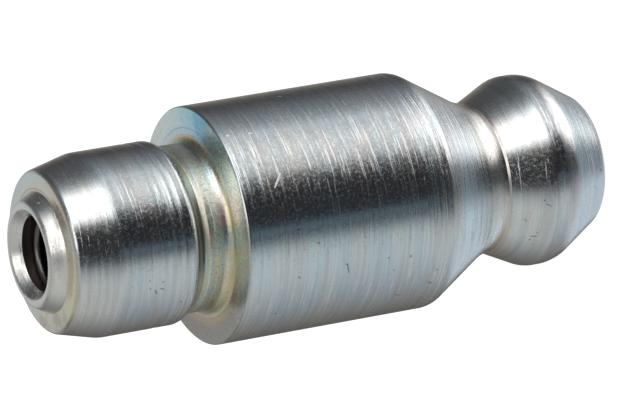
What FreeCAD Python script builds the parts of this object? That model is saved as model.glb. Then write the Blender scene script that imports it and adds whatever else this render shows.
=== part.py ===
import FreeCAD, Part
import math
import os

# Straight drive-in grease nipple with a round body, in millimetres.
# The axis of the fitting is Z. The origin is the centre of the head's flat tip, which it stands on,
# and the shank that is driven into the machine's hole points to +Z.

Vector = FreeCAD.Vector
AXIS = Vector(0, 0, 1)

# Head that the grease coupler grips
nose_length = 1.81
nose_diameter = 4.3
tip_edge_radius = 0.5
ridge_diameter = 6.5
ridge_width = 0.78
nose_edge_radius = 0.78
flank_edge_radius = 0.84
flank_length = 1.41

# Neck between head and body
neck_diameter = 5.1
neck_straight = 0.35
crease_radius = 0.18
neck_taper_angle = 31.0
neck_blend_radius = 1.0

# Round body up to the shoulder that seats on the machine
body_diameter = 8.0
body_length = 7.67
body_edge_radius = 0.5
shoulder_edge_break = 0.12

# Relief groove at the foot of the shank
relief_diameter = 5.56
relief_width = 1.0
relief_runout = 0.43

# The flat ring of the shoulder starts this far outside the shank, where the groove's root ends
seat_clearance = 0.01

# Shank that is pressed into the hole, with its lead-in taper
shank_diameter = 6.15
shank_length = 5.6
lead_in_length = 1.48
lead_in_angle = 14.0
lead_in_blend_radius = 1.0
shank_edge_radius = 0.4

# Lip crimped inward over the spring
lip_root_diameter = 4.08
lip_crest_diameter = 3.86
lip_height = 0.5
lip_outer_radius = 0.42
lip_inner_radius = 0.28
lip_hole_diameter = 2.56
lip_thickness = 0.38

# Grease hole, ball seat and bore
grease_hole_diameter = 2.0
grease_hole_land = 0.45
grease_hole_chamfer = 0.12
seat_angle = 60.0
bore_diameter = 3.2

# Check ball and its spring
ball_diameter = 2.778
wire_diameter = 0.4
spring_clearance = 0.1
open_turns = 7
closed_turns = 1
closed_pitch = 0.42
pitch_blend = 0.25
wire_flats = 8
path_points_per_turn = 8
path_lead = 3

# Points of the outline nearer than this are one point
meeting_gap = 1e-6

# Radii
ridge_radius = ridge_diameter / 2
neck_radius = neck_diameter / 2
body_radius = body_diameter / 2
relief_radius = relief_diameter / 2
shank_radius = shank_diameter / 2
seat_inner_radius = shank_radius + seat_clearance
lip_hole_radius = lip_hole_diameter / 2
hole_radius = grease_hole_diameter / 2
bore_radius = bore_diameter / 2
ball_radius = ball_diameter / 2
wire_radius = wire_diameter / 2
coil_radius = bore_radius - spring_clearance - wire_radius

# Heights along the axis, from the tip up
ridge_front = nose_length
ridge_back = ridge_front + ridge_width
crease = ridge_back + flank_length
taper_end = crease + neck_straight
taper_start = taper_end + (body_radius - neck_radius) / math.tan(math.radians(neck_taper_angle))
shoulder = taper_start + body_length
relief_root = shoulder + seat_inner_radius - relief_radius
relief_end = shoulder + relief_width
shank_end = shoulder + shank_length
lead_in_start = shank_end - lead_in_length
lip_crest = shank_end + lip_height
lip_underside = lip_crest - lip_thickness

# The ball rests on the seat's cone, just behind the grease hole
seat_half_angle = math.radians(seat_angle / 2)
seat_start = grease_hole_land
seat_end = seat_start + (bore_radius - hole_radius) / math.tan(seat_half_angle)
seat_apex = seat_start - hole_radius / math.tan(seat_half_angle)
ball_height = seat_apex + ball_radius / math.sin(seat_half_angle)

# The spring stands on the shoulder of the ball and under the lip
coil_bottom = ball_height + math.sqrt((ball_radius + wire_radius) ** 2 - coil_radius ** 2)
coil_top = lip_underside - wire_radius
total_turns = 2 * closed_turns + open_turns
open_pitch = (coil_top - coil_bottom - 2 * closed_turns * closed_pitch) / open_turns


def rounded_outline(corners):
    """Closed outline in the XZ plane through corners of radius, height and rounding.

    Where two roundings meet, no straight stretch is left between them.
    """
    points = [Vector(radius, 0, height) for radius, height, rounding in corners]
    starts = []
    ends = []
    edges = []
    for index, corner in enumerate(points):
        to_last = points[index - 1] - corner
        to_next = points[(index + 1) % len(points)] - corner
        half_angle = to_last.getAngle(to_next) / 2
        room = min(to_last.Length, to_next.Length) / 2
        reach = min(corners[index][2] / math.tan(half_angle), room)
        to_last.normalize()
        to_next.normalize()
        starts.append(corner + to_last * reach)
        ends.append(corner + to_next * reach)
        if reach > 0:
            inward = (to_last + to_next).normalize()
            to_centre = reach / math.cos(half_angle)
            radius = reach * math.tan(half_angle)
            middle = corner + inward * (to_centre - radius)
            edges.append(Part.Arc(starts[-1], middle, ends[-1]).toShape())
    for index, start in enumerate(starts):
        if start.distanceToPoint(ends[index - 1]) > meeting_gap:
            edges.append(Part.LineSegment(ends[index - 1], start).toShape())
    return Part.Wire(Part.__sortEdges__(edges))


def body():
    """Head, neck, round body, shank and crimped lip, turned from one bar and bored through."""
    face_radius = shank_radius - lead_in_length * math.tan(math.radians(lead_in_angle))
    outside = [
        (hole_radius + grease_hole_chamfer, 0, 0),
        (nose_diameter / 2, 0, tip_edge_radius),
        (ridge_radius, ridge_front, nose_edge_radius),
        (ridge_radius, ridge_back, flank_edge_radius),
        (neck_radius, crease, crease_radius),
        (neck_radius, taper_end, neck_blend_radius),
        (body_radius, taper_start, body_edge_radius),
        (body_radius, shoulder - shoulder_edge_break, 0),
        (body_radius - shoulder_edge_break, shoulder, 0),
        (seat_inner_radius, shoulder, 0),
        (relief_radius, relief_root, 0),
        (relief_radius, relief_end, 0),
        (shank_radius, relief_end + relief_runout, 0),
        (shank_radius, lead_in_start, lead_in_blend_radius),
        (face_radius, shank_end, shank_edge_radius),
        (lip_root_diameter / 2, shank_end, 0),
        (lip_crest_diameter / 2, lip_crest, lip_outer_radius),
        (lip_hole_radius, lip_crest, lip_inner_radius),
    ]
    inside = [
        (lip_hole_radius, lip_underside, 0),
        (bore_radius, lip_underside, 0),
        (bore_radius, seat_end, 0),
        (hole_radius, seat_start, 0),
        (hole_radius, grease_hole_chamfer, 0),
    ]
    return Part.Face(rounded_outline(outside + inside)).revolve(Vector(0, 0, 0), AXIS, 360)


def check_ball():
    """Ball that closes the grease hole from inside."""
    return Part.makeSphere(ball_radius, Vector(0, 0, ball_height))


def coil_height(turn):
    """Height of the wire's middle: closed turns, then open turns, then closed turns."""
    height = coil_bottom + closed_pitch * turn
    for side, change in ((1, closed_turns), (-1, total_turns - closed_turns)):
        blended = min(max(turn - change + pitch_blend, 0), 2 * pitch_blend)
        beyond = max(turn - change - pitch_blend, 0)
        height += side * (open_pitch - closed_pitch) * (blended ** 2 / (4 * pitch_blend) + beyond)
    return height


def wire_section(centre, way):
    """Section of the round wire, drawn with flats so that the long coil stays light."""
    side = way.cross(AXIS).normalize()
    up = side.cross(way)
    corners = []
    for corner in range(wire_flats + 1):
        angle = 2 * math.pi * (corner + 0.5) / wire_flats
        corners.append(centre + (side * math.cos(angle) + up * math.sin(angle)) * wire_radius)
    return Part.makePolygon(corners)


def spring():
    """Compression spring with closed ends. Its path runs on past both ends and is then trimmed."""
    steps = round(total_turns * path_points_per_turn)
    points = []
    for step in range(-path_lead, steps + path_lead + 1):
        turn = total_turns * step / steps
        angle = 2 * math.pi * turn
        points.append(Vector(coil_radius * math.cos(angle), coil_radius * math.sin(angle), coil_height(turn)))
    line = Part.BSplineCurve()
    line.interpolate(points)
    knots = line.getKnots()
    line.segment(knots[path_lead], knots[-1 - path_lead])
    section = wire_section(line.value(line.FirstParameter), line.tangent(line.FirstParameter)[0])
    return Part.Wire(line.toShape()).makePipeShell([section], True, True)


os.makedirs("parts", exist_ok=True)
body().exportStep("parts/body.step")
check_ball().exportStep("parts/check_ball.step")
spring().exportStep("parts/spring.step")
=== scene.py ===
import math

import bmesh
import bpy
from mathutils import Matrix, Vector


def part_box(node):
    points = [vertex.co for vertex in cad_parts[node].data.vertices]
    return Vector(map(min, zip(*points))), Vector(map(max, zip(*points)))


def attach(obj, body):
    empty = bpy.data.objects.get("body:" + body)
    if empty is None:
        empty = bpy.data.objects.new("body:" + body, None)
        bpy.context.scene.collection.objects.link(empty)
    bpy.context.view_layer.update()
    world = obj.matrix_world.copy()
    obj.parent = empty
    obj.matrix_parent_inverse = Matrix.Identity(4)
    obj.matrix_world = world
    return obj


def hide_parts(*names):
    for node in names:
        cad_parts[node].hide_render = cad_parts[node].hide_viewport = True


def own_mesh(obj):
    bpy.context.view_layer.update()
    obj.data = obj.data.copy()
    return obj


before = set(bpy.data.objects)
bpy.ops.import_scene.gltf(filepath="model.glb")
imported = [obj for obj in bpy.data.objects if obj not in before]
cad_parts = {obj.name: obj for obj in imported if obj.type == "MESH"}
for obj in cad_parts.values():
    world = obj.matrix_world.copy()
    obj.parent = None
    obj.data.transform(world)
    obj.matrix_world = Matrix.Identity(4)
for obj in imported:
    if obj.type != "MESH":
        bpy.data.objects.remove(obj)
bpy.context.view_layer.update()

# The frame is in metres. The turned profile is drawn in millimetres and scaled at the end.
mm = 0.001

# Outer sizes, taken from the frame
_, body_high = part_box("body")
ball_low, ball_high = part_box("check_ball")
spring_low, spring_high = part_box("spring")
overall_length = body_high.z / mm
body_radius = body_high.x / mm
ball_radius = (ball_high.z - ball_low.z) / 2 / mm
ball_height = (ball_high.z + ball_low.z) / 2 / mm
spring_radius = spring_high.x / mm

# Head that the grease coupler grips, heights from its flat tip
nose_radius = 2.15
ridge_radius = 3.25
ridge_front = 1.81
ridge_back = 2.59
crease = 4.0
neck_radius = 2.55
neck_end = 4.35
taper_angle = 31.0

# Round body and the relief groove behind its shoulder
body_length = 7.67
relief_radius = 2.78
relief_width = 1.0
relief_runout = 0.43

# Shank, lead-in taper and crimped lip
shank_radius = 3.075
shank_length = 5.6
lead_in_length = 1.48
lead_in_angle = 14.0
lip_root_radius = 2.04
lip_crest_radius = 1.62
lip_hole_radius = 1.28
lip_thickness = 0.38

# Grease hole, seat and bore
hole_radius = 1.0
hole_land = 0.45
hole_chamfer = 0.12
seat_angle = 60.0
bore_radius = 1.6

# Spring of round wire with closed ends
wire_radius = 0.2
open_turns = 7
closed_pitch = 0.42

taper_start = neck_end + (body_radius - neck_radius) / math.tan(math.radians(taper_angle))
shoulder = taper_start + body_length
relief_end = shoulder + relief_width
shank_start = relief_end + relief_runout
shank_end = shoulder + shank_length
lead_in_start = shank_end - lead_in_length
face_radius = shank_radius - lead_in_length * math.tan(math.radians(lead_in_angle))
lip_underside = overall_length - lip_thickness
seat_end = hole_land + (bore_radius - hole_radius) / math.tan(math.radians(seat_angle / 2))

# Corners that are rounded widely, and how wide
nose_rounding = 0.5
ridge_front_rounding = 1.15
ridge_back_rounding = 0.84
neck_rounding = 0.5
neck_flare_rounding = 3.0
taper_rounding = 0.6
groove_root_rounding = 0.36
shank_edge_rounding = 0.6
lead_in_rounding = 1.0
face_rounding = 0.22
lip_outer_rounding = 0.29
lip_inner_rounding = 0.26

# Small steps and broken edges that turning and crimping left
crease_step = 0.06
crease_step_length = 0.075
neck_swell = 0.02
neck_swell_length = 0.22
neck_flare = 0.16
neck_flare_length = 0.3
shoulder_chamfer = 0.05
floor_rise = 0.03
step_drop = 0.09
step_start = 0.17
step_end = 0.03
lip_crest_half_width = 0.11
lip_edge = 0.04
lip_edge_length = 0.03

# Tool marks on the body and on the shank: height over the start of the stretch, depth and width
body_marks = [(0.34, 0.010, 0.08), (0.62, 0.008, 0.07)]
shank_marks = [(0.40, 0.014, 0.16), (0.72, 0.016, 0.24)]

# Fineness of the turned meshes. Roundings up to small_rounding have fewer steps.
body_facets = 288
rounding_steps = 7
edge_steps = 3
small_rounding = 0.1
longest_ring = 0.3

# Knocks and scratches on the body, the head and the lip: angle round the axis from the camera's
# side, height, length, width and lean from the direction of turning. The dark ones hold dirt.
bright_knocks = [
    (14.4, 13.03, 0.62, 0.07, 144),
    (69.6, 11.27, 0.16, 0.09, 60),
    (45.0, 7.16, 0.12, 0.10, 0),
    (43.5, 14.09, 0.14, 0.08, 20),
    (42.5, 13.29, 0.14, 0.08, 70),
    (-20.0, 10.2, 0.15, 0.12, 0),
    (59.0, 20.28, 0.20, 0.07, 0),
    (-1.5, 20.19, 0.16, 0.06, 0),
    (4.0, 20.38, 0.12, 0.05, 0),
]
dark_knocks = [
    (-33.9, 10.79, 0.44, 0.06, 15),
    (-31.5, 10.86, 0.12, 0.06, 60),
    (-33.3, 8.47, 0.12, 0.08, 0),
    (-52.5, 7.5, 0.34, 0.05, 60),
    (-58.0, 8.6, 0.30, 0.05, 70),
    (-34.0, 12.6, 0.12, 0.07, 40),
    (-55.0, 13.2, 0.10, 0.09, 0),
    (-25.0, 2.83, 0.26, 0.05, 60),
    (-22.0, 2.95, 0.12, 0.05, 0),
    (-49.5, 3.12, 0.26, 0.07, 110),
    (-46.0, 3.04, 0.12, 0.05, 60),
    (-53.0, 3.20, 0.14, 0.05, 0),
    (-37.0, 3.48, 0.20, 0.04, 30),
    (-38.0, 17.34, 0.30, 0.06, 20),
    (-36.5, 17.12, 0.20, 0.07, 60),
    (-35.0, 17.56, 0.12, 0.05, 0),
    (-50.0, 16.32, 0.16, 0.06, 30),
]

# Camera of the photograph
lens_length = 350.3
sensor_width = 36.0
camera_distance = 0.20259
camera_elevation = 25.45
camera_roll = -99.84
camera_aim = Vector((-0.071, 0.0, 10.137)) * mm


class Value:
    """Output of a shader node. Arithmetic on it adds Math nodes."""

    def __init__(self, graph, socket):
        self.graph = graph
        self.socket = socket

    def math(self, operation, *others):
        inputs = dict(enumerate((self, *others)))
        return self.graph.add("ShaderNodeMath", {"operation": operation}, inputs)

    def __add__(self, other):
        return self.math("ADD", other)

    def __sub__(self, other):
        return self.math("SUBTRACT", other)

    def __mul__(self, other):
        return self.math("MULTIPLY", other)

    def __truediv__(self, other):
        return self.math("DIVIDE", other)

    def __rsub__(self, other):
        return self.graph.add("ShaderNodeMath", {"operation": "SUBTRACT"}, {0: other, 1: self})

    __radd__ = __add__


class Graph:
    """Node tree of a material or of the world."""

    def __init__(self, owner):
        owner.use_nodes = True
        self.tree = owner.node_tree
        self.tree.nodes.clear()

    def add(self, kind, settings=None, inputs=None, output=0):
        """Adds a node: its settings first, then the values or links of its sockets."""
        node = self.tree.nodes.new(kind)
        for name, value in (settings or {}).items():
            if name == "stops":
                self.set_stops(node.color_ramp, value)
            else:
                setattr(node, name, value)
        for key, value in (inputs or {}).items():
            if isinstance(value, Value):
                self.tree.links.new(value.socket, node.inputs[key])
            else:
                node.inputs[key].default_value = value
        return Value(self, node.outputs[output]) if node.outputs else None

    def set_stops(self, ramp, stops):
        """Colour stops as (position, (red, green, blue)) pairs."""
        while len(ramp.elements) < len(stops):
            ramp.elements.new(0.5)
        for element, (position, shade) in zip(ramp.elements, stops):
            element.position = position
            element.color = (*shade, 1)

    def ramp(self, value, stops):
        """Colour of the stops at value."""
        return self.add("ShaderNodeValToRGB", {"stops": stops}, {0: value})

    def by_angle(self, angle, shades):
        """Colour at an angle in degrees, from (angle, colour) pairs between -180 and 180."""
        stops = [((degrees + 180) / 360, shade) for degrees, shade in shades]
        return self.ramp((angle + 180) / 360, stops)

    def parts(self, vector):
        """The three numbers of a vector."""
        node = self.add("ShaderNodeSeparateXYZ", inputs={0: vector}).socket.node
        return [Value(self, socket) for socket in node.outputs]

    def vector(self, x, y, z):
        return self.add("ShaderNodeCombineXYZ", inputs={0: x, 1: y, 2: z})

    def mix(self, share, first, second):
        """Colour between first and second."""
        settings = {"data_type": "RGBA", "clamp_factor": True}
        inputs = {0: share, 6: colour(first), 7: colour(second)}
        return self.add("ShaderNodeMix", settings, inputs, output=2)

    def rise(self, value, start, end):
        """Smooth step from 0 at start to 1 at end."""
        settings = {"interpolation_type": "SMOOTHSTEP"}
        inputs = {"Value": value, "From Min": start, "From Max": end}
        return self.add("ShaderNodeMapRange", settings, inputs)

    def band(self, value, start, end, soft):
        """1 between start and end, with soft edges outside them."""
        return self.rise(value, start - soft, start) * (1 - self.rise(value, end, end + soft))

    def noise(self, vector, scale, detail=2.0, roughness=0.5, distortion=0.0):
        inputs = {"Vector": vector, "Scale": scale, "Detail": detail, "Roughness": roughness}
        inputs["Distortion"] = distortion
        return self.add("ShaderNodeTexNoise", inputs=inputs)

    def bump(self, height):
        """Normal of a surface raised by height in millimetres."""
        return self.add("ShaderNodeBump", inputs={"Height": height, "Distance": mm})


def colour(value):
    """A colour socket wants four numbers."""
    return (*value, 1) if isinstance(value, tuple) else value


def placed(name, data):
    """Adds an object with this data to the scene."""
    thing = bpy.data.objects.new(name, data)
    bpy.context.scene.collection.objects.link(thing)
    return thing


def rounded_outline(mesh, corners):
    """Closed line through corners of radius, height and rounding, in the XZ plane."""
    points = [mesh.verts.new((radius, 0, height)) for radius, height, _ in corners]
    for start, end in zip(points, points[1:] + points[:1]):
        mesh.edges.new((start, end))
    for point, (_, _, rounding) in zip(points, corners):
        if rounding:
            first, second = (edge.other_vert(point).co - point.co for edge in point.link_edges)
            reach = rounding / math.tan(first.angle(second) / 2)
            reach = min(reach, 0.49 * first.length, 0.49 * second.length)
            bmesh.ops.bevel(
                mesh, geom=[point], affect="VERTICES", offset_type="OFFSET", offset=reach,
                segments=rounding_steps if rounding > small_rounding else edge_steps,
                profile=0.5, material=-1,
            )


def turned(name, corners, facets):
    """Solid of revolution about the fitting's axis, from its outline in millimetres."""
    mesh = bmesh.new()
    rounded_outline(mesh, corners)
    for edge in mesh.edges[:]:
        cuts = math.ceil(edge.calc_length() / longest_ring) - 1
        if cuts > 0:
            bmesh.ops.subdivide_edges(mesh, edges=[edge], cuts=cuts)
    bmesh.ops.spin(
        mesh, geom=mesh.verts[:] + mesh.edges[:], cent=(0, 0, 0), axis=(0, 0, 1), dvec=(0, 0, 0),
        angle=math.tau, steps=facets, use_merge=True, use_duplicate=False,
    )
    return finished(name, mesh)


def finished(name, mesh):
    """Scales a mesh to metres, turns its faces outwards and makes it an object."""
    bmesh.ops.scale(mesh, vec=(mm, mm, mm), verts=mesh.verts[:])
    bmesh.ops.recalc_face_normals(mesh, faces=mesh.faces[:])
    data = bpy.data.meshes.new(name)
    mesh.to_mesh(data)
    mesh.free()
    data.shade_smooth()
    data.set_sharp_from_angle(angle=math.radians(35))
    return placed(name, data)


def tool_marks(radius, start, marks):
    """Corners of the shallow grooves that the turning tool left round a straight stretch."""
    corners = []
    for rise, depth, width in marks:
        height = start + rise
        corners.append((radius, height - width / 2, 0.02))
        corners.append((radius - depth, height, 0.01))
        corners.append((radius, height + width / 2, 0.02))
    return corners


def turned_body():
    """Head, neck, round body, shank and lip as one turned piece, with its fine edges."""
    outside = [
        (hole_radius + hole_chamfer, 0, 0.03),
        (nose_radius, 0, nose_rounding),
        (ridge_radius, ridge_front, ridge_front_rounding),
        (ridge_radius, ridge_back, ridge_back_rounding),
        (neck_radius + crease_step, crease - crease_step_length, 0.015),
        (neck_radius, crease, 0.03),
        (neck_radius + neck_swell, crease + neck_swell_length, neck_rounding),
        (neck_radius + neck_flare, neck_end + neck_flare_length, neck_flare_rounding),
        (body_radius, taper_start, taper_rounding),
        *tool_marks(body_radius, taper_start, body_marks),
        (body_radius, shoulder - shoulder_chamfer, 0.04),
        (body_radius - shoulder_chamfer, shoulder, 0.04),
        (relief_radius + floor_rise, shoulder, groove_root_rounding),
        (relief_radius + floor_rise, relief_end - step_start, 0.05),
        (relief_radius - step_drop, relief_end - step_end, 0.06),
        (shank_radius, shank_start, shank_edge_rounding),
        *tool_marks(shank_radius, shank_start, shank_marks),
        (shank_radius, lead_in_start, lead_in_rounding),
        (face_radius, shank_end, face_rounding),
        (lip_root_radius, shank_end, 0.08),
        (lip_crest_radius + lip_crest_half_width, overall_length, lip_outer_rounding),
        (lip_crest_radius - lip_crest_half_width, overall_length, lip_inner_rounding),
    ]
    inside = [
        (lip_hole_radius - lip_edge, lip_underside + lip_edge_length, 0.02),
        (lip_hole_radius, lip_underside, 0),
        (bore_radius, lip_underside, 0.05),
        (bore_radius, seat_end, 0),
        (hole_radius, hole_land, 0),
        (hole_radius, hole_chamfer, 0.03),
    ]
    return turned("turned_body", outside + inside, body_facets)


def polished_ball():
    """Steel ball that closes the grease hole."""
    mesh = bmesh.new()
    bmesh.ops.create_uvsphere(mesh, u_segments=96, v_segments=48, radius=ball_radius)
    bmesh.ops.translate(mesh, vec=(0, 0, ball_height), verts=mesh.verts[:])
    return finished("polished_ball", mesh)


def coiled_spring():
    """Round wire wound round the axis: a closed turn, the open turns and a closed turn."""
    coil_radius = spring_radius - wire_radius
    bottom = spring_low.z / mm + wire_radius
    top = spring_high.z / mm - wire_radius
    open_pitch = (top - bottom - 2 * closed_pitch) / open_turns
    steps_per_turn = 48
    mesh = bmesh.new()
    place = Matrix.Translation((coil_radius, 0, bottom)) @ Matrix.Rotation(math.pi / 2, 4, "X")
    bmesh.ops.create_circle(mesh, cap_ends=True, segments=14, radius=wire_radius, matrix=place)
    section = [*mesh.faces, *mesh.edges, *mesh.verts]
    for turns, pitch in ((1, closed_pitch), (open_turns, open_pitch), (1, closed_pitch)):
        section = bmesh.ops.spin(
            mesh, geom=section, cent=(0, 0, 0), axis=(0, 0, 1), dvec=(0, 0, pitch / steps_per_turn),
            angle=math.tau * turns, steps=turns * steps_per_turn, use_merge=False, use_duplicate=False,
        )["geom_last"]
    return finished("coiled_spring", mesh)


def object_place(graph):
    """Position on the piece in millimetres, with its distance from the axis."""
    place = graph.add("ShaderNodeTexCoord", output="Object")
    place = graph.add("ShaderNodeVectorMath", {"operation": "SCALE"}, {0: place, "Scale": 1 / mm})
    x, y, z = graph.parts(place)
    from_axis = (x * x + y * y).math("SQRT")
    return place, x, y, z, from_axis


def surface(graph, base, roughness, normal, **constants):
    """Ends a metal's graph in its shader. The constants are the same all over the piece."""
    inputs = {"Base Color": colour(base), "Metallic": 1.0, "Roughness": roughness, "Normal": normal}
    shader = graph.add("ShaderNodeBsdfPrincipled", inputs={**inputs, **constants})
    graph.add("ShaderNodeOutputMaterial", inputs={"Surface": shader})


def knocked(graph, arc, z, knock):
    """1 in the middle of a knock or scratch, 0 off it. Ways round are taken at the body's radius."""
    angle, height, length, width, lean = knock
    round_way = arc - math.radians(angle) * body_radius
    up = z - height
    cosine = math.cos(math.radians(lean))
    sine = math.sin(math.radians(lean))
    along = (round_way * cosine + up * sine) * (2 / length)
    across = (up * cosine - round_way * sine) * (2 / width)
    return graph.rise(along * along + across * across, 1.2, 0.5)


# Tints by height, up to the round body: blue-grey at the tip, rosy at the ridge and in the crease
tinted_height = 8.0
height_tints = [
    (1.3, (0.72, 0.83, 0.89)),
    (1.8, (0.86, 0.83, 0.83)),
    (2.5, (0.86, 0.83, 0.83)),
    (2.9, (0.86, 0.87, 0.86)),
    (3.84, (0.86, 0.87, 0.86)),
    (3.97, (0.96, 0.74, 0.60)),
    (4.06, (0.96, 0.76, 0.62)),
    (4.2, (0.92, 0.87, 0.79)),
    (4.8, (0.87, 0.87, 0.81)),
    (5.3, (0.76, 0.86, 0.90)),
    (6.5, (0.80, 0.85, 0.88)),
    (6.9, (0.80, 0.82, 0.83)),
]

# Rainbow tints of the passivated plating, in lines round the axis
film_tints = [
    (0.32, (0.84, 0.80, 0.70)),
    (0.42, (0.84, 0.76, 0.74)),
    (0.50, (0.79, 0.80, 0.81)),
    (0.57, (0.68, 0.79, 0.87)),
    (0.67, (0.74, 0.85, 0.80)),
]

# The groove is tinted most, with olive, rose and teal
stain_tints = [
    (0.32, (0.90, 0.62, 0.56)),
    (0.42, (0.88, 0.79, 0.54)),
    (0.50, (0.78, 0.84, 0.70)),
    (0.58, (0.62, 0.87, 0.87)),
    (0.68, (0.92, 0.86, 0.70)),
]

# Face round the lip, by the angle from the camera's side: plating tints, brown and gold underneath, pale
# above, with painted reflection brightness: brighter toward the camera's side, darker underneath
face_tints_and_painted_reflection = [
    (-130, (0.82, 0.76, 0.72)),
    (-95, (0.76, 0.64, 0.55)),
    (-72, (0.64, 0.58, 0.42)),
    (-50, (0.82, 0.84, 0.54)),
    (-25, (0.98, 0.90, 0.76)),
    (10, (0.96, 0.86, 0.80)),
    (52, (0.82, 0.79, 0.72)),
    (90, (0.86, 0.88, 0.87)),
    (130, (0.86, 0.88, 0.86)),
    (160, (0.86, 0.85, 0.78)),
]

# The shoulder's ring, by the same angle: brown underneath, then pale, teal and blue, with painted
# reflection brightness, near white toward the camera's side
ring_tints_and_painted_reflection = [
    (-110, (0.40, 0.37, 0.33)),
    (-60, (0.40, 0.38, 0.34)),
    (-35, (0.70, 0.72, 0.68)),
    (-12, (0.98, 0.96, 0.84)),
    (25, (0.92, 1.00, 0.94)),
    (38, (0.68, 0.95, 0.94)),
    (47, (0.62, 0.80, 0.84)),
    (56, (0.38, 0.56, 0.62)),
    (64, (0.26, 0.62, 0.82)),
    (76, (0.50, 0.84, 0.93)),
    (90, (0.78, 0.92, 0.94)),
    (110, (0.90, 0.97, 0.94)),
    (150, (0.93, 0.95, 0.93)),
]


def plated_steel():
    """Turned steel with clear zinc plating: turning lines, speckle and faint rainbow tints, with painted
    light and shade on the face, the groove and the shoulder's ring.
    """
    material = bpy.data.materials.new("plated_steel")
    graph = Graph(material)
    place, x, y, z, from_axis = object_place(graph)

    # A line round the axis keeps this number, on the cylinders, cones and faces alike
    along = z + from_axis * 0.37

    def lines(length, pitch, detail=3.0, roughness=0.6):
        """Noise drawn out round the axis, each line about length long and pitch wide."""
        return graph.noise(graph.vector(x / length, y / length, along / pitch), 1.0, detail, roughness)

    # Angle round the axis from the camera's side, and the same with a wavering edge
    turn = x.math("ARCTAN2", 0 - y) * (180 / math.pi)
    uneven = turn + graph.noise(place, 3.0, 3.0, 0.6) * 30 - 15

    # Zones of the piece: face round the lip, lip, bore, shoulder's ring, groove with its step and
    # its run-out to the shank, and the front end of the round body
    face = graph.rise(z, shank_end - 0.1, shank_end - 0.01)
    lip = graph.rise(z, shank_end + 0.005, shank_end + 0.03)
    bore = graph.rise(from_axis, bore_radius + 0.1, bore_radius + 0.03)
    bore = bore * graph.rise(z, lip_underside + 0.03, lip_underside - 0.01)
    collar = graph.band(z, shoulder - 0.012, shoulder + 0.012, 0.008) * graph.rise(from_axis, 3.0, 3.1)
    groove = graph.rise(z, shoulder - 0.01, shoulder + 0.01)
    groove = groove * graph.rise(z, shank_start - 0.04, shank_start - 0.12) * (1 - collar)
    step = graph.band(z, relief_end - 0.18, relief_end - 0.04, 0.02) * groove
    runout = graph.band(z, relief_end, shank_start - 0.05, 0.03) * graph.rise(from_axis, 3.06, 3.0)
    front = graph.band(z, taper_start - 0.1, taper_start + 0.75, 0.45)

    # Turning lines, streaks where the tool tore, plating speckle
    rings = lines(5.0, 0.15, 4.0, 0.62)
    tears = lines(1.8, 0.095, 3.0, 0.5) + graph.noise(place, 0.8, 2.0, 0.5) * 0.16 + front * 0.03
    tears = graph.rise(tears, 0.62, 0.78)
    hair = lines(0.7, 0.035, 2.0)
    tone = lines(5.0, 0.12, 4.0, 0.75)
    mottle = graph.noise(place, 10.0, 4.0, 0.65, 0.2)
    flecks = graph.rise(mottle, 0.46, 0.66)
    pits = graph.rise(graph.noise(place, 3.6, 1.0, 0.5), 0.76, 0.80) * (1 - collar)
    grain = graph.noise(place, 24.0, 2.0, 0.6)

    # Metal of the head, body and shank
    tint_stops = [(height / tinted_height, shade) for height, shade in height_tints]
    tint = graph.ramp(z / tinted_height, tint_stops)
    film = graph.ramp(lines(3.0, 0.7, 3.0, 0.6), film_tints)
    stain = graph.ramp(lines(1.6, 0.45, 4.0, 0.7), stain_tints)
    base = graph.mix(0.4, tint, film)

    # Face round the lip, with blotches below and a dark line at the lip's foot, and the lip. The face's
    # tints carry painted reflection brightness by angle, and the foot line is painted shade.
    # Plating tints with painted reflection brightness, by the angle round the axis
    face_tint_and_painted_reflection = graph.by_angle(uneven, face_tints_and_painted_reflection)
    face_stains_and_painted_reflection = graph.mix(0.4, face_tint_and_painted_reflection, stain)
    face_stains_and_painted_reflection = graph.mix(graph.rise(from_axis, 2.5, 2.2) * 0.4, face_stains_and_painted_reflection, (0.90, 0.80, 0.64))
    blotches = graph.rise(graph.noise(place, 2.4, 3.0, 0.5), 0.40, 0.62) * graph.band(turn, -112, -72, 15)
    face_stains_and_painted_reflection = graph.mix(blotches * 0.55, face_stains_and_painted_reflection, (0.56, 0.42, 0.35))
    base = graph.mix(face, base, face_stains_and_painted_reflection)
    # Painted shade in the corner at the lip's foot, on its upper side
    painted_foot_shade = face * graph.band(from_axis, 2.10, 2.14, 0.03) * graph.band(turn, 40, 140, 30)
    base = graph.mix(painted_foot_shade * 0.5, base, (0.45, 0.36, 0.32))
    base = graph.mix(lip * 0.8, base, (0.90, 0.91, 0.91))

    # Groove: stained all round, with painted light on its lit side, gold where it meets the shoulder,
    # painted shade in its inmost corner, darker on its lower side, a painted highlight on the step and
    # painted shade in the run-out
    base = graph.mix(groove, base, stain)
    upper = graph.rise(turn, 48, 78)
    # Painted light on the groove at angles 4 to 30 and above 48
    painted_groove_light = graph.band(turn, 4, 30, 10) * 0.45 + upper * 0.7
    base = graph.mix(groove * painted_groove_light, base, (0.97, 0.98, 0.94))
    gilt = graph.band(uneven, -4, 10, 8) + graph.band(uneven, 70, 108, 10)
    gilt = gilt + graph.band(uneven, -75, -24, 12) * 0.7 + graph.band(uneven, 24, 56, 10) * 0.45
    root = graph.rise(z, shoulder + 0.42, shoulder + 0.28) * groove
    gold = graph.band(from_axis, 2.92, 3.08, 0.06) * root
    base = graph.mix(gold * (gilt * 0.85 + 0.06), base, (1.0, 0.84, 0.44))
    inmost = graph.rise(from_axis, 2.92, 2.86) * root
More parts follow.
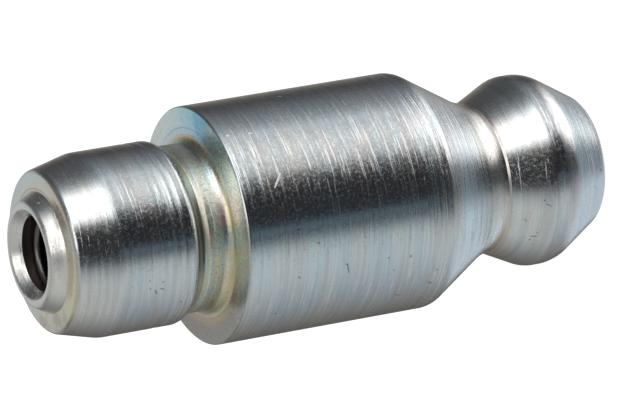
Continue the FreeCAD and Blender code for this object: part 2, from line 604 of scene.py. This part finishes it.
    # Painted shade in the groove's inmost corner, and a rosy tint there toward the camera's side
    base = graph.mix(inmost * graph.rise(turn, 20, 50) * 0.2, base, (0.42, 0.37, 0.27))
    base = graph.mix(inmost * graph.band(turn, 0, 16, 8) * 0.6, base, (0.96, 0.66, 0.60))
    specks = graph.rise(graph.noise(place, 11.0, 3.0, 0.7, 0.3), 0.52, 0.64)
    specks = specks * (upper * 0.2 + 0.7) * (1 - root * 0.6)
    base = graph.mix(groove * specks, base, (0.34, 0.32, 0.28))
    base = graph.mix(groove * graph.rise(turn, -60, -110) * 0.4, base, (0.40, 0.38, 0.34))
    # Painted cream highlight on the step, strongest toward the camera's side
    base = graph.mix(step * (graph.band(turn, -8, 22, 12) * 0.5 + 0.25), base, (0.98, 0.90, 0.70))
    # Painted shade in the run-out to the shank, near black toward the camera's side
    runout_painted_shade = runout * (graph.band(turn, -22, 12, 20) * 0.77 + 0.15)
    base = graph.mix(runout_painted_shade, base, (0.05, 0.047, 0.045))

    # Shoulder's ring, with plating tints and painted reflection brightness by angle, and a tool line
    ring_tint_and_painted_reflection = graph.by_angle(uneven, ring_tints_and_painted_reflection)
    base = graph.mix(collar, base, ring_tint_and_painted_reflection)
    inner = graph.rise(from_axis, 3.5, 3.2) * graph.band(turn, 80, 130, 25)
    base = graph.mix(collar * inner * 0.6, base, (0.62, 0.80, 0.92))
    amber = graph.rise(from_axis, 3.5, 3.2) * graph.rise(uneven, -30, -80)
    base = graph.mix(collar * amber * 0.7, base, (0.58, 0.45, 0.29))
    tool_line = graph.band(from_axis, 3.28, 3.30, 0.02) * graph.band(turn, 60, 105, 15)
    base = graph.mix(collar * tool_line * 0.5, base, (0.25, 0.35, 0.45))

    # Tone of the single lines, dirt in pits and in the bore
    dull_lines = graph.rise(tone, 0.64, 0.36) * (0.5 - (face + collar) * 0.4)
    base = graph.mix(dull_lines, base, (0.54, 0.55, 0.56))
    base = graph.mix(pits * 0.5, base, (0.25, 0.25, 0.26))
    base = graph.mix(bore, base, (0.24, 0.19, 0.17))

    arc = turn * (math.radians(1) * body_radius)
    bright = sum(knocked(graph, arc, z, knock) for knock in bright_knocks)
    dark = sum(knocked(graph, arc, z, knock) for knock in dark_knocks)
    base = graph.mix(dark * 0.65, base, (0.14, 0.14, 0.15))
    base = graph.mix(bright, base, (0.95, 0.95, 0.94))

    # Relief of the turning lines, calmer on the head, and roughness
    calm = graph.rise(z, 5.2, 4.6)
    height = rings * (front * 0.022 + 0.008 - calm * 0.003) + tears * 0.005 + hair * 0.0016
    relief = groove * (1 - root * 0.6) * (upper * 0.010 + 0.012) + 0.0018
    height = height + mottle * relief + grain * 0.0006 - pits * 0.003 + bright * 0.006
    roughness = flecks * 0.15 + hair * 0.08 + bright * 0.3 + 0.12
    roughness = roughness + collar * 0.08 + lip * 0.08 + bore * 0.3
    roughness = roughness + groove * (1 - root) * (upper * 0.24 + 0.16)
    roughness = roughness + root * graph.rise(turn, 38, 20) * 0.12
    constants = {"Anisotropic": 0.5, "Anisotropic Rotation": 0.25}
    surface(graph, base, roughness, graph.bump(height), **constants)
    return material


def ball_steel():
    """Ground and polished ball with a film of grease haze."""
    material = bpy.data.materials.new("ball_steel")
    graph = Graph(material)
    place, _, _, _, _ = object_place(graph)
    haze = graph.noise(place, 2.2, 3.0, 0.6)
    grain = graph.noise(place, 30.0, 2.0, 0.5)
    base = graph.mix(haze, (0.52, 0.52, 0.53), (0.66, 0.66, 0.67))
    surface(graph, base, haze * 0.12 + 0.06, graph.bump(grain * 0.0003))
    return material


def spring_wire():
    """Drawn spring wire, darker than the plating, with drawing lines."""
    material = bpy.data.materials.new("spring_wire")
    graph = Graph(material)
    place, _, _, _, _ = object_place(graph)
    scale = graph.noise(place, 3.0, 3.0, 0.6)
    grain = graph.noise(place, 25.0, 2.0, 0.5)
    base = graph.mix(scale, (0.13, 0.11, 0.10), (0.24, 0.22, 0.21))
    surface(graph, base, grain * 0.2 + 0.2, graph.bump(grain * 0.001))
    return material


def wear(piece, material):
    """Gives a piece its material."""
    piece.data.materials.clear()
    piece.data.materials.append(material)


def build_floor():
    """Plain white floor. The metal looks past it at the studio walls, as on a glass table."""
    mesh = bmesh.new()
    bmesh.ops.create_grid(mesh, x_segments=1, y_segments=1, size=1.5)
    data = bpy.data.meshes.new("floor")
    mesh.to_mesh(data)
    mesh.free()
    floor = placed("floor", data)
    floor.visible_glossy = False
    floor.visible_shadow = False
    material = bpy.data.materials.new("floor_white")
    graph = Graph(material)
    camera_ray = graph.add("ShaderNodeLightPath", output="Is Camera Ray")
    glow = graph.add("ShaderNodeEmission", inputs={"Strength": camera_ray * 0.84})
    paint = graph.add("ShaderNodeBsdfDiffuse", inputs={"Color": colour((0.6, 0.6, 0.6))})
    shader = graph.add("ShaderNodeAddShader", inputs={0: glow, 1: paint})
    graph.add("ShaderNodeOutputMaterial", inputs={"Surface": shader})
    data.materials.append(material)


# The studio round the part, by the compass angle from the camera's side: a light box to the right,
# a dark gap where the camera stands, pale walls to the left and dark corners behind
level_walls = [
    (-180, (0.28, 0.27, 0.26)),
    (-165, (0.105, 0.095, 0.085)),
    (-135, (0.20, 0.195, 0.185)),
    (-105, (0.31, 0.34, 0.36)),
    (-75, (0.45, 0.51, 0.54)),
    (-60, (0.50, 0.57, 0.60)),
    (-44, (0.50, 0.57, 0.59)),
    (-37, (0.42, 0.485, 0.51)),
    (-31, (0.25, 0.305, 0.33)),
    (-26, (0.125, 0.155, 0.175)),
    (-23, (0.06, 0.078, 0.09)),
    (-20, (0.09, 0.125, 0.15)),
    (-17, (0.125, 0.195, 0.24)),
    (-14, (0.04, 0.055, 0.066)),
    (-11, (0.025, 0.028, 0.032)),
    (14, (0.020, 0.020, 0.023)),
    (25, (0.035, 0.035, 0.036)),
    (34, (0.14, 0.143, 0.143)),
    (44, (1.00, 1.02, 1.00)),
    (52, (1.45, 1.48, 1.45)),
    (70, (1.40, 1.45, 1.44)),
    (78, (0.95, 1.02, 1.04)),
    (86, (0.47, 0.51, 0.54)),
    (96, (0.29, 0.32, 0.345)),
    (106, (0.205, 0.225, 0.245)),
    (116, (0.155, 0.165, 0.18)),
    (126, (0.10, 0.105, 0.115)),
    (136, (0.072, 0.072, 0.076)),
    (146, (0.09, 0.085, 0.08)),
    (156, (0.17, 0.155, 0.14)),
    (166, (0.30, 0.28, 0.265)),
    (180, (0.28, 0.27, 0.26)),
]
low_walls = [
    (-180, (0.90, 0.93, 0.98)),
    (-155, (0.56, 0.62, 0.68)),
    (-110, (0.62, 0.70, 0.75)),
    (-60, (0.44, 0.47, 0.48)),
    (-38, (0.27, 0.29, 0.30)),
    (-18, (0.08, 0.088, 0.095)),
    (8, (0.06, 0.065, 0.07)),
    (24, (0.20, 0.21, 0.215)),
    (38, (1.10, 1.10, 1.10)),
    (50, (1.60, 1.60, 1.60)),
    (100, (1.60, 1.60, 1.58)),
    (118, (0.80, 0.84, 0.86)),
    (140, (0.34, 0.35, 0.36)),
    (160, (0.42, 0.42, 0.42)),
    (180, (0.90, 0.93, 0.98)),
]
upper_walls = [
    (-180, (0.40, 0.39, 0.38)),
    (-168, (0.13, 0.12, 0.115)),
    (-155, (0.14, 0.13, 0.12)),
    (-135, (0.205, 0.20, 0.195)),
    (-115, (0.33, 0.34, 0.335)),
    (-95, (0.48, 0.49, 0.48)),
    (-55, (0.51, 0.54, 0.53)),
    (-42, (0.41, 0.43, 0.43)),
    (-34, (0.28, 0.30, 0.30)),
    (-27, (0.10, 0.105, 0.11)),
    (-18, (0.035, 0.035, 0.038)),
    (8, (0.030, 0.030, 0.032)),
    (16, (0.06, 0.06, 0.06)),
    (22, (0.16, 0.16, 0.155)),
    (29, (1.00, 0.99, 0.97)),
    (36, (1.80, 1.80, 1.78)),
    (62, (1.80, 1.80, 1.80)),
    (70, (1.10, 1.12, 1.12)),
    (78, (0.50, 0.53, 0.54)),
    (86, (0.23, 0.255, 0.27)),
    (98, (0.12, 0.13, 0.14)),
    (115, (0.075, 0.08, 0.085)),
    (140, (0.085, 0.082, 0.08)),
    (155, (0.20, 0.185, 0.17)),
    (167, (0.40, 0.38, 0.36)),
    (180, (0.40, 0.39, 0.38)),
]
high_walls = [
    (-180, (0.42, 0.41, 0.40)),
    (-90, (0.40, 0.39, 0.38)),
    (-50, (0.44, 0.45, 0.44)),
    (-22, (0.42, 0.43, 0.42)),
    (-14, (0.42, 0.42, 0.41)),
    (-7, (0.80, 0.78, 0.76)),
    (1, (1.60, 1.57, 1.52)),
    (36, (1.60, 1.58, 1.54)),
    (50, (0.50, 0.49, 0.47)),
    (84, (0.14, 0.145, 0.15)),
    (150, (0.15, 0.15, 0.155)),
    (180, (0.42, 0.41, 0.40)),
]


def light_studio():
    """World light: the studio for metal and floor, plain white behind the part."""
    world = bpy.data.worlds.new("studio")
    bpy.context.scene.world = world
    graph = Graph(world)
    direction = graph.add("ShaderNodeTexCoord", output="Generated")
    x, y, z = graph.parts(direction)
    compass = x.math("ARCTAN2", 0 - y) * (180 / math.pi)
    elevation = z.math("ARCSINE") * (180 / math.pi)

    studio = graph.by_angle(compass, level_walls)
    seam = graph.band(elevation, -33, -17, 6) * graph.band(compass, 44, 76, 8)
    studio = graph.mix(seam * 0.55, studio, (0.1, 0.1, 0.1))
    studio = graph.mix(graph.rise(elevation, -17, -7), studio, graph.by_angle(compass, upper_walls))
    behind = graph.rise(compass.math("ABSOLUTE"), 140, 165) * graph.rise(elevation, -10, 6)
    studio = graph.mix(behind, studio, (0.50, 0.52, 0.53))
    studio = graph.mix(graph.rise(elevation, 34, 42), studio, graph.by_angle(compass, high_walls))
    studio = graph.mix(graph.rise(elevation, -33, -44), studio, graph.by_angle(compass, low_walls))
    studio = graph.mix(graph.rise(elevation, -70, -84), studio, (0.24, 0.275, 0.30))
    studio = graph.mix(graph.rise(elevation, 66, 74), studio, (0.32, 0.32, 0.325))
    camera_ray = graph.add("ShaderNodeLightPath", output="Is Camera Ray")
    seen = graph.mix(camera_ray, studio, (1.0, 1.0, 1.0))
    background = graph.add("ShaderNodeBackground", inputs={"Color": seen, "Strength": 1.0})
    graph.add("ShaderNodeOutputWorld", inputs={"Surface": background})


def place_camera():
    """Camera of the photograph: it looks down on the part and is rolled on its side."""
    data = bpy.data.cameras.new("camera")
    data.sensor_width = sensor_width
    data.lens = lens_length
    data.clip_start = 0.01
    camera = placed("camera", data)
    camera.matrix_world = (
        Matrix.Translation(camera_aim)
        @ Matrix.Rotation(math.radians(90 - camera_elevation), 4, "X")
        @ Matrix.Rotation(math.radians(camera_roll), 4, "Z")
        @ Matrix.Translation((0, 0, camera_distance))
    )
    bpy.context.scene.camera = camera


bpy.context.scene.view_settings.view_transform = "Standard"

body = turned_body()
wear(body, plated_steel())
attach(body, "fitting")
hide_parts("body")

ball = polished_ball()
wear(ball, ball_steel())
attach(ball, "ball")
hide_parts("check_ball")

spring = coiled_spring()
wear(spring, spring_wire())
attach(spring, "fitting")
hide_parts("spring")
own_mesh(spring)

build_floor()
light_studio()
place_camera()
